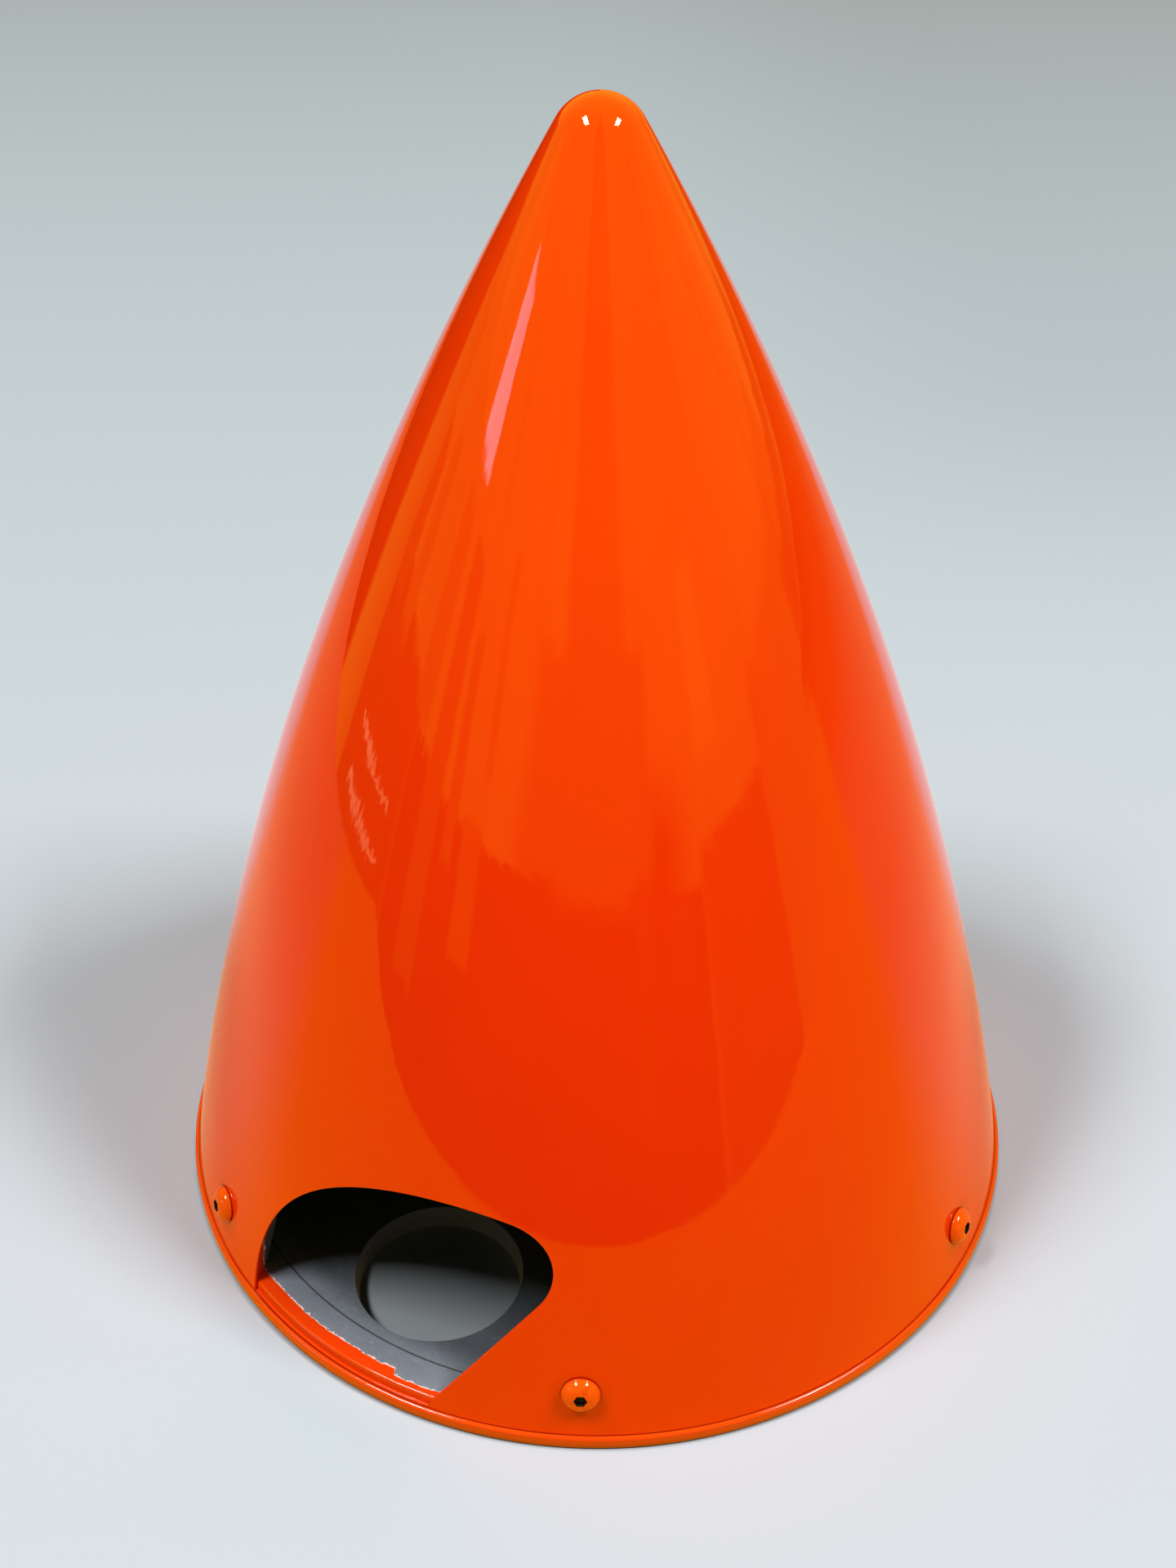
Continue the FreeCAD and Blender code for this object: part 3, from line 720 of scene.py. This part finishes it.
class SPINNER_OT_backplate(bpy.types.Operator):
    """Make the backplate with its rim, flange and holes"""
    bl_idname = "spinner.backplate"
    bl_label = "Backplate"

    def execute(self, context):
        scene = context.scene
        cone, plate = scene.spinner_cone, scene.spinner_plate
        ogive = Ogive(cone)
        bm = bmesh.new()
        self.plate_body(bm, ogive, cone, plate)
        for half in range(2):
            self.flange(bm, ogive, cone, plate, Outline(scene.spinner_opening, plate.flange_setback), half)
        bmesh.ops.remove_doubles(bm, verts=bm.verts, dist=MERGE)
        bmesh.ops.recalc_face_normals(bm, faces=bm.faces)
        finished("backplate_body", bm, [plate_laminate(plate, scene.spinner_colours)], "backplate",
                 radians(32))
        return {"FINISHED"}

    def plate_body(self, bm, ogive, cone, plate):
        """The flat plate with its bores, the step that centres the cone, and the rounded rim."""
        top = FOOT_Z + plate.spigot
        front = ring(bm, plate.scribe_radius - plate.scribe_width / 2, top, PLATE_DIVISIONS)
        rear = ring(bm, RIM_RADIUS - plate.rim_round, 0, PLATE_DIVISIONS)
        front_loops, rear_loops = list(front), list(rear)

        def bore(radius, divisions, centre=(0.0, 0.0)):
            mouth = ring(bm, radius + plate.mouth, top, divisions, centre)
            front_loops.extend(mouth)
            rear_loops.extend(drawn_out(bm, mouth, [(radius, top - plate.mouth), (radius, 0)], centre))

        for k in range(LARGE_HOLES):
            turn = 2 * pi * k / LARGE_HOLES
            centre = (plate.lightening_circle * sin(turn), -plate.lightening_circle * cos(turn))
            large = ring(bm, plate.lightening_radius, top, 72, centre)
            rear_radius = plate.lightening_radius - top * tan(plate.draft)
            front_loops += large
            rear_loops += drawn_out(bm, large, [(rear_radius, 0)], centre)
            turn += pi / LARGE_HOLES
            bore(plate.bolt_radius, 32, (plate.bolt_circle * sin(turn), -plate.bolt_circle * cos(turn)))
        bore(plate.pilot_radius, 64)
        bmesh.ops.triangle_fill(bm, use_beauty=True, edges=front_loops, normal=AXIS)
        bmesh.ops.triangle_fill(bm, use_beauty=True, edges=rear_loops, normal=-AXIS)

        depth = cone.wall + plate.clearance
        shoulder = top - plate.spigot_round
        spigot = ogive.radius(shoulder, depth)
        steps = [(plate.scribe_radius, top - plate.scribe_depth), (plate.scribe_radius + plate.scribe_width / 2, top)]
        steps += arc_points((spigot - plate.spigot_round, shoulder), plate.spigot_round, pi / 2, 0, 5)
        steps += [(ogive.radius(FOOT_Z, depth), FOOT_Z)]
        rim = RIM_RADIUS - plate.rim_round
        steps += arc_points((rim, FOOT_Z - plate.rim_round), plate.rim_round, pi / 2, 0, 6)
        steps += arc_points((rim, plate.rim_round), plate.rim_round, 0, -pi / 2, 6)
        drawn_out(bm, front, steps)

    def flange(self, bm, ogive, cone, plate, outline, half):
        """One of the two upstanding walls behind the cone's foot, from one opening to the next."""
        top = FOOT_Z + plate.spigot
        sunk = top - 1.5 * MM
        outside = cone.wall + plate.clearance
        inside = outside + plate.flange_wall
        chamfer = 0.3 * MM
        root = plate.flange_root
        points = [(ogive.radius(sunk, outside), sunk)]
        heights = [top + (FLANGE_TOP - chamfer - top) * k / 4 for k in range(5)]
        points += [(ogive.radius(z, outside), z) for z in heights]
        points += [(ogive.radius(FLANGE_TOP, outside) - chamfer, FLANGE_TOP),
                   (ogive.radius(FLANGE_TOP, inside) + chamfer, FLANGE_TOP)]
        points += [(ogive.radius(z, inside), z) for z in reversed(heights[1:])]
        inner = ogive.radius(top + root, inside)
        points += arc_points((inner - root, top + root), root, 0, -pi / 2, 6)
        points += [(inner - root, sunk)]
        span, steps = 2.0, 72
        made_before = set(bm.verts)
        section = bm.faces.new([bm.verts.new((0, -r, z)) for r, z in points])
        bmesh.ops.spin(bm, geom=[section], axis=AXIS, angle=span, steps=steps)
        # the plain turn becomes one that begins and ends behind the openings' edges at every height
        for vert in set(bm.verts) - made_before:
            r, z = hypot(vert.co.x, vert.co.y), vert.co.z
            share = atan2(vert.co.x, -vert.co.y) / span
            begin = asin(outline.right(z) / r)
            end = pi - asin(-outline.left(z) / r)
            turn = begin + (end - begin) * share + half * pi
            vert.co.x, vert.co.y = sin(turn) * r, -cos(turn) * r


class SPINNER_OT_cone_screws(bpy.types.Operator):
    """Make the button-head screws round the cone's foot"""
    bl_idname = "spinner.cone_screws"
    bl_label = "Cone screws"

    def execute(self, context):
        scene = context.scene
        screw = scene.spinner_screw
        ogive = Ogive(scene.spinner_cone)
        finishes = [screw_paint(scene.spinner_colours), plated_steel(), black_oxide_and_shade()]
        template = self.one_screw(screw)
        for k, turn in enumerate(screw_turns(screw), start=1):
            bm = template.copy()
            bmesh.ops.transform(bm, matrix=screw_place(screw, ogive, turn), verts=bm.verts)
            finished("button_screw_%d" % k, bm, finishes, "cone_screw_%d" % k, radians(40))
        template.free()
        return {"FINISHED"}

    def one_screw(self, screw):
        """A screw in its own frame: domed head, hexagon socket and shank."""
        bm = bmesh.new()
        top = screw.head_height
        broken = 0.15 * MM                      # broken edge under the head
        socket_floor = top - screw.socket_depth
        land = ring(bm, screw.land, top, SCREW_DIVISIONS)
        start, end = Vector((screw.head, screw.head_edge)), Vector((screw.land, top))
        half = (end - start).length / 2
        dome = (half ** 2 + screw.head_bulge ** 2) / (2 * screw.head_bulge)
        along = (end - start).normalized()
        centre = (start + end) / 2 - Vector((along.y, -along.x)) * (dome - screw.head_bulge)
        first = atan2(end.y - centre.y, end.x - centre.x)
        last = atan2(start.y - centre.y, start.x - centre.x)
        steps = arc_points(centre, dome, first, last, 10)[1:]
        drawn_out(bm, land, steps + [(screw.head, broken), (screw.head - broken, 0)])

        corner = screw.socket / sqrt(3)
        hexagon = ring(bm, corner, top, 6)
        corners = list({v for e in hexagon for v in e.verts})
        bmesh.ops.rotate(bm, verts=corners, matrix=Matrix.Rotation(pi / 2, 3, "Z"))
        bmesh.ops.subdivide_edges(bm, edges=hexagon, cuts=3)
        within_land = screw.land - 10 * MERGE
        hexagon = [e for e in bm.edges if e.is_wire and max(v.co.xy.length for v in e.verts) < within_land]
        bmesh.ops.triangle_fill(bm, use_beauty=True, edges=land + hexagon, normal=AXIS)
        fresh, bottom = extruded(bm, hexagon)
        for vert in fresh:
            vert.co.z = socket_floor
        drill = bm.verts.new((0, 0, socket_floor - screw.socket / 4))
        for edge in bottom:
            bm.faces.new((edge.verts[0], edge.verts[1], drill))
        for face in bm.faces:
            centre = face.calc_center_median()
            if centre.xy.length < corner and centre.z < top - 0.2 * MM:
                face.material_index = 2

        underside = ring(bm, screw.head - broken, 0, SCREW_DIVISIONS)
        point = 0.5 * MM                        # chamfer at the shank's end
        end = drawn_out(bm, underside, [(screw.shank, 0), (screw.shank, point - screw.length),
                                        (screw.shank - point, -screw.length)])
        bmesh.ops.holes_fill(bm, edges=end)
        bmesh.ops.remove_doubles(bm, verts=bm.verts, dist=MERGE)
        bmesh.ops.recalc_face_normals(bm, faces=bm.faces)
        for face in bm.faces:
            if face.calc_center_median().z < -0.1 * MM:
                face.material_index = 1
        return bm


class SPINNER_OT_hardware(bpy.types.Operator):
    """Give the anchor nuts and their rivets their metal finishes"""
    bl_idname = "spinner.hardware"
    bl_label = "Anchor nuts and rivets"

    def execute(self, context):
        for k in range(1, context.scene.spinner_screw.count + 1):
            for name, finish in (("nut_plate_%d" % k, plated_steel()), ("nut_plate_rivets_%d" % k, rivet_metal())):
                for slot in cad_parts[name].material_slots:
                    slot.material = finish
        return {"FINISHED"}


# ---------------------------------------------------------------- stage

def camera_frame(stage, x, y):
    """Distances to the camera's right and towards it."""
    return (x * cos(stage.azimuth) + y * sin(stage.azimuth),
            x * sin(stage.azimuth) - y * cos(stage.azimuth))


def warm(level):
    """The colour of the room's walls at a brightness."""
    return (level, level * 0.74, level * 0.05, 1)


def pale(level):
    """The colour of light on something white."""
    return (level, level * 0.80, level * 0.40, 1)


DAYLIGHT = (6.5, 4.6, 7.0, 1)

# What the gloss sees round the table, each over the ones before: from and to in bearing and in height,
# in degrees, then the softness of its edges, the slope of its long side and its colour.
ROOM_PARTS = (
    (-190, -118, -40, 9, 3, 0, warm(0.02)),         # dark corner on the left
    (-118, -104, -40, 10, 1.2, 0, warm(0.92)),
    (-104, -72, -40, 1, 1, 0, warm(0.24)),          # dark furniture
    (-24, 28, -40, 4.5, 8, 0, warm(0.15)),
    (-72, -15, -40, -0.5, 0.8, 0, warm(0.15)),
    (20, 34, -40, -1.5, 0.8, 0, warm(0.16)),
    (34, 61, -40, 0, 1.5, 0, warm(0.36)),
    (61, 112, -40, 5, 1.5, 0, warm(0.90)),
    (-104, -97, -2, 6, 1, 0, warm(0.42)),
    (-94, -88, -1, 9, 1.5, 0, warm(0.80)),
    (-76, -68, 0, 12, 1.5, 0, warm(0.75)),
    (-64, -57, -12, 12, 0.7, 0, warm(0.50)),        # legs and backs of chairs
    (-54, -50, -4, 9, 0.7, 0, warm(0.62)),
    (-47, -40, -8, 0, 0.7, 0, warm(0.66)),
    (12, 16, -14, 0, 1, 0, warm(0.26)),
    (22, 30, -7, -2, 1, 0, warm(0.24)),
    (-25, 18, 0, 13, 2, 0, warm(0.74)),             # grey door in front
    (-14, 11, -1, 90, 3, 0, warm(0.76)),
    (-42, -39, 3, 16, 1, 0, warm(0.85)),
    (-98, -77, -7.4, -6.9, 0.3, 0.062, pale(2.2)),  # slats of light
    (-98, -77, -10.3, -9.8, 0.3, 0.062, pale(2.2)),
    (-104, -66, 14, 25, 1, 0, warm(1.6)),           # windows
    (-76, -66, 14, 24, 0.7, 0, DAYLIGHT),
    (36, 45, 5, 15, 2, 0, warm(1.8)),
    (60, 95, 6, 26, 6, 0, warm(1.45)),
    (91, 94.5, -9, 1.5, 0.6, 0, warm(0.50)),        # a thin post and a dark edge
    (94, 132, -1.8, 1.0, 0.8, 0, warm(0.35)),
    (100, 190, -30, -1.8, 6, 0, warm(0.55)),
    (128, 190, 1, 14, 6, 0, warm(0.70)),
)


class SPINNER_OT_stage(bpy.types.Operator):
    """Make the floor, the lamps and the camera"""
    bl_idname = "spinner.stage"
    bl_label = "Stage"

    def execute(self, context):
        scene = context.scene
        stage = scene.spinner_stage
        bm = bmesh.new()
        bmesh.ops.create_grid(bm, x_segments=1, y_segments=1, size=4.0)
        mesh = bpy.data.meshes.new("floor")
        bm.to_mesh(mesh)
        bm.free()
        floor = bpy.data.objects.new("floor", mesh)
        scene.collection.objects.link(floor)
        mesh.materials.append(self.floor_finish(stage, scene.spinner_colours))
        scene.world = self.room(stage)

        # places to the right and front, widths and lengths are shares of the ceiling's height
        for name, right, front, width, length, power in (
                ("ceiling_lamp_left", -0.49, 0.21, 0.18, 0.38, stage.lamp_power),
                ("ceiling_lamp_right", 0.61, 0.22, 0.18, 0.36, stage.lamp_power * 1.18)):
            data = bpy.data.lights.new(name, "AREA")
            data.shape = "RECTANGLE"
            data.size, data.size_y = width * stage.ceiling, length * stage.ceiling
            data.energy = power
            data.color = (1.0, 1.0, 1.03)
            lamp = bpy.data.objects.new(name, data)
            scene.collection.objects.link(lamp)
            lamp.location = self.placed(stage, right, front, 1) * stage.ceiling
            lamp.rotation_euler = (0, 0, stage.azimuth)

        camera = bpy.data.objects.new("camera", bpy.data.cameras.new("camera"))
        scene.collection.objects.link(camera)
        scene.camera = camera
        camera.data.lens = 45
        camera.data.sensor_width = 36
        camera.location = self.placed(stage, *CAMERA_PLACE) * RIM_RADIUS
        camera.rotation_euler = (pi / 2 - stage.pitch, 0, stage.azimuth)
        scene.view_settings.view_transform = "Standard"
        return {"FINISHED"}

    def placed(self, stage, right, front, up):
        """A point given by its distances to the camera's right, towards the camera and up."""
        turn = stage.azimuth
        return Vector((front * sin(turn) + right * cos(turn), right * sin(turn) - front * cos(turn), up))

    def floor_finish(self, stage, colours):
        """Pale floor, with painted shade to the right at the back, round the rim's foot and under the plate, that
        fades into the backdrop far off. The gloss sees it in the table's and the room's colours, and past the table's
        edges it sees the room itself."""
        finish = Finish("pale_floor", Roughness=0.65, Specular_IOR_Level=0.2)
        _, (x, y, _) = finish.place()
        right, front = camera_frame(stage, x, y)
        away = finish.distance(x, y)

        far = finish.between(front, -0.1, -1.1)
        colour = finish.blend(far, shaded(colours.floor), shaded(colours.floor_far))
        # painted shade: the floor darkens to the right at the back
        painted_shade_back_right = finish.between(front, -0.2, -0.5) * finish.between(right, -0.05, 0.25)
        colour = finish.blend(painted_shade_back_right * 0.6, colour, shaded(colours.floor_far, 0.78))
        # painted shadow: a dark contact ring round the rim's foot, and painted shade on the floor under the plate
        touching = finish.between(away, 112.5 * MM, 113.5 * MM) * finish.between(away, 116.0 * MM, 114.5 * MM)
        painted_shade_under_plate = finish.between(away, 112 * MM, 100 * MM)
        colour = finish.blend(painted_shade_under_plate * 0.5 + touching * 0.5, colour, (0.02, 0.01, 0.005, 1))

        at_sides = finish.blend(finish.between(away, 1.5, 0.45), (0.86, 0.15, 0.0, 1), (0.90, 0.36, 0.12, 1))
        at_sides = finish.blend(finish.between(away, 0.45, 0.14), at_sides, (0.86, 0.53, 0.27, 1))
        in_gloss = finish.blend(finish.between(front, 0.08, 0.0), (0.95, 0.47, 0.0, 1), at_sides)
        behind = front * -1 / finish.maths("ABSOLUTE", right) - away * 1.5
        in_gloss = finish.blend(finish.between(behind, 0.12, 0.5), in_gloss, (0.70, 0.62, 0.62, 1))
        glossy = finish.node("ShaderNodeLightPath", output="Is Glossy Ray")
        finish.drive("Base Color", finish.blend(glossy, colour, in_gloss))

        off_front = finish.between(front, stage.table_front, stage.table_front + 6 * MM)
        off_left = finish.between(right, -stage.table_left, -stage.table_left - 10 * MM)
        off_table = glossy * finish.maths("MAXIMUM", off_front, off_left)
        camera = finish.node("ShaderNodeLightPath", output="Is Camera Ray")
        finish.drive("Alpha", 1 - off_table - camera * finish.between(away, 1.35, 2.6))
        return finish.material

    def room(self, stage):
        """Dim pale surroundings; the gloss sees a plain room's light walls, its dark furniture and its windows."""
        world = bpy.data.worlds.new("room")
        world.use_nodes = True
        nodes = Nodes(world.node_tree)
        direction, (x, y, up) = nodes.place()
        right, front = camera_frame(stage, x, y)
        bearing = nodes.maths("ARCTAN2", right, front) * degrees(1)
        height = nodes.maths("ARCSINE", up) * degrees(1)
        uneven = nodes.noise(direction, 3.0, 3.0)
        ragged = nodes.noise(self.flat(nodes, bearing, height), 0.8, 5.0, 0.6) - 0.5
        height = height + ragged * 2.6
        bearing = bearing - ragged * 1.6
        shade = nodes.blend(uneven, warm(1.00), warm(1.55))
        for left, end, low, high, soft, slope, colour in ROOM_PARTS:
            along = height - (bearing - (left + end) / 2) * slope
            inside = (nodes.band(bearing, left - soft, end + soft, 2 * soft)
                      * nodes.band(along, low - soft / 2, high + soft / 2, soft))
            shade = nodes.blend(inside, shade, colour)
        streaks = nodes.noise(self.flat(nodes, bearing * 0.09, height * 0.015), 1.0, 4.0)
        shade = nodes.blend(nodes.between(streaks, 0.48, 0.72) * 0.20, shade, warm(0.15))

        camera = nodes.node("ShaderNodeLightPath", output="Is Camera Ray")
        around = shaded((0.7, 1.0, 1.1), stage.ambient)
        plain = nodes.node("ShaderNodeBackground", {}, {"Color": nodes.blend(camera, around, (0.60, 0.65, 0.67, 1))})
        walls = nodes.node("ShaderNodeBackground", {}, {"Color": shade})
        glossy = nodes.node("ShaderNodeLightPath", output="Is Glossy Ray")
        mixed = nodes.node("ShaderNodeMixShader", {}, {0: glossy, 1: plain, 2: walls})
        nodes.join(world.node_tree.nodes["World Output"].inputs["Surface"], mixed)
        return world

    def flat(self, nodes, across, up):
        """A vector from a bearing and a height, for noise that follows the walls."""
        return nodes.node("ShaderNodeCombineXYZ", {}, {0: across, 1: up})


class VIEW3D_PT_spinner(bpy.types.Panel):
    """Lists the spinner's pieces and their settings"""
    bl_label = "Propeller spinner"
    bl_idname = "VIEW3D_PT_spinner"
    bl_space_type = "VIEW_3D"
    bl_region_type = "UI"
    bl_category = "Spinner"

    def draw(self, context):
        for operator in PIECES:
            self.layout.operator(operator.bl_idname)
        for group_name, group in GROUPS.items():
            box = self.layout.box()
            for name in group.__annotations__:
                box.prop(getattr(context.scene, group_name), name)


GROUPS = {
    "spinner_cone": SpinnerConeSizes,
    "spinner_opening": SpinnerOpeningSizes,
    "spinner_plate": SpinnerPlateSizes,
    "spinner_screw": SpinnerScrewSizes,
    "spinner_colours": SpinnerColours,
    "spinner_stage": SpinnerStage,
}
PIECES = (SPINNER_OT_nose_cone, SPINNER_OT_backplate, SPINNER_OT_cone_screws, SPINNER_OT_hardware,
          SPINNER_OT_stage)


def register():
    for name, group in GROUPS.items():
        bpy.utils.register_class(group)
        setattr(bpy.types.Scene, name, PointerProperty(type=group))
    for kind in PIECES + (VIEW3D_PT_spinner,):
        bpy.utils.register_class(kind)


def unregister():
    for kind in reversed(PIECES + (VIEW3D_PT_spinner,)):
        bpy.utils.unregister_class(kind)
    for name, group in GROUPS.items():
        delattr(bpy.types.Scene, name)
        bpy.utils.unregister_class(group)


def main():
    register()
    bpy.ops.spinner.nose_cone()
    bpy.ops.spinner.backplate()
    bpy.ops.spinner.cone_screws()
    bpy.ops.spinner.hardware()
    bpy.ops.spinner.stage()


if __name__ == "__main__":
    main()
